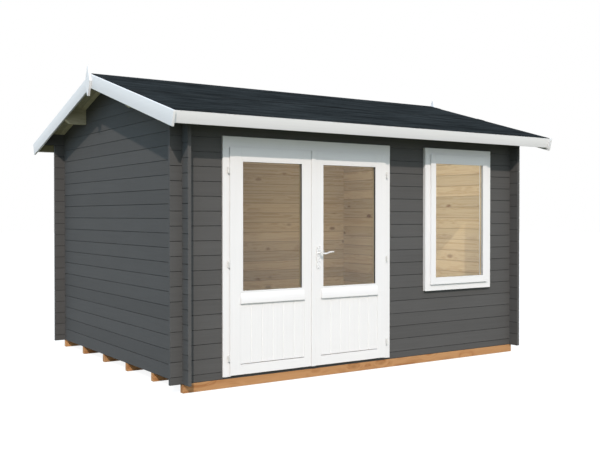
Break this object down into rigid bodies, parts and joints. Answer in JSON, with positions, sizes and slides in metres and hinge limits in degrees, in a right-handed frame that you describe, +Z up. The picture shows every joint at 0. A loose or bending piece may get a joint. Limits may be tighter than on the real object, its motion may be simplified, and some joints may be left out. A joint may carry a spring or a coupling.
{
  "type": "garden shed",
  "caption": "Log-built garden shed with interlocking corners, a felted pitched roof, an outward opening glazed double door, a tall window and timber bearers.",
  "frame": {"origin": "on the ground under the middle of the plan", "axes": "+Z up, the door side faces -Y, +X runs along the door side to the right"},
  "size_m": [4.0806, 3.42, 2.6666],
  "materials": {
    "grey_logs": "dark grey paint outside, bare knotty pine inside",
    "natural_pine": "planed bare pine with knots",
    "treated_pine": "sawn pine, lightly treated",
    "white_paint": "white paint on planed timber",
    "roof_felt": "bitumen felt with slate granules",
    "clear_glass": "clear float glass",
    "hinge_steel": "zinc plated steel",
    "handle_metal": "satin metal"
  },
  "bodies": {
    "shed": {"front_fascia": "white_paint", "back_fascia": "white_paint", "left_barge_boards": "white_paint", "right_barge_boards": "white_paint", "left_finial": "white_paint", "right_finial": "white_paint", "left_door_jamb": "white_paint", "right_door_jamb": "white_paint", "door_head": "white_paint", "window_frame": "white_paint", "window_sash": "white_paint", "front_wall_left": "grey_logs", "front_wall_below_window": "grey_logs", "front_wall_middle": "grey_logs", "front_wall_right": "grey_logs", "front_header_log": "grey_logs", "front_eaves_log": "grey_logs", "back_wall": "grey_logs", "back_eaves_log": "grey_logs", "left_gable_wall": "grey_logs", "right_gable_wall": "grey_logs", "door_threshold": "grey_logs", "floor_deck": "natural_pine", "front_purlin": "natural_pine", "ridge_purlin": "natural_pine", "back_purlin": "natural_pine", "front_roof_boards": "natural_pine", "back_roof_boards": "natural_pine", "floor_bearers": "treated_pine", "roof_felt": "roof_felt", "window_glass": "clear_glass", "door_frame_hinges": "hinge_steel"},
    "left_door": {"left_door_frame": "white_paint", "left_door_panel": "white_paint", "left_door_drip": "white_paint", "left_door_glass": "clear_glass", "left_door_hinges": "hinge_steel"},
    "right_door": {"right_door_frame": "white_paint", "right_door_panel": "white_paint", "right_door_drip": "white_paint", "right_door_cover_strip": "white_paint", "right_door_glass": "clear_glass", "right_door_hinges": "hinge_steel", "handle_plates": "handle_metal"},
    "handle": {"door_handle": "handle_metal"}
  },
  "joints": [
    {"name": "left_door_hinge", "type": "hinge", "parent": "shed", "child": "left_door", "pos_m": [-1.4163, -1.4209, 1], "axis": [0, 0, -1], "range_deg": [0, 150]},
    {"name": "right_door_hinge", "type": "hinge", "parent": "shed", "child": "right_door", "pos_m": [0.1733, -1.4209, 1], "axis": [0, 0, 1], "range_deg": [0, 150]},
    {"name": "handle_turn", "type": "hinge", "parent": "right_door", "child": "handle", "pos_m": [-0.56595, -1.4213, 1.037], "axis": [0, 1, 0], "range_deg": [0, 40], "stiffness_Nm_per_rad": 1, "springref_deg": -28.65}
  ]
}
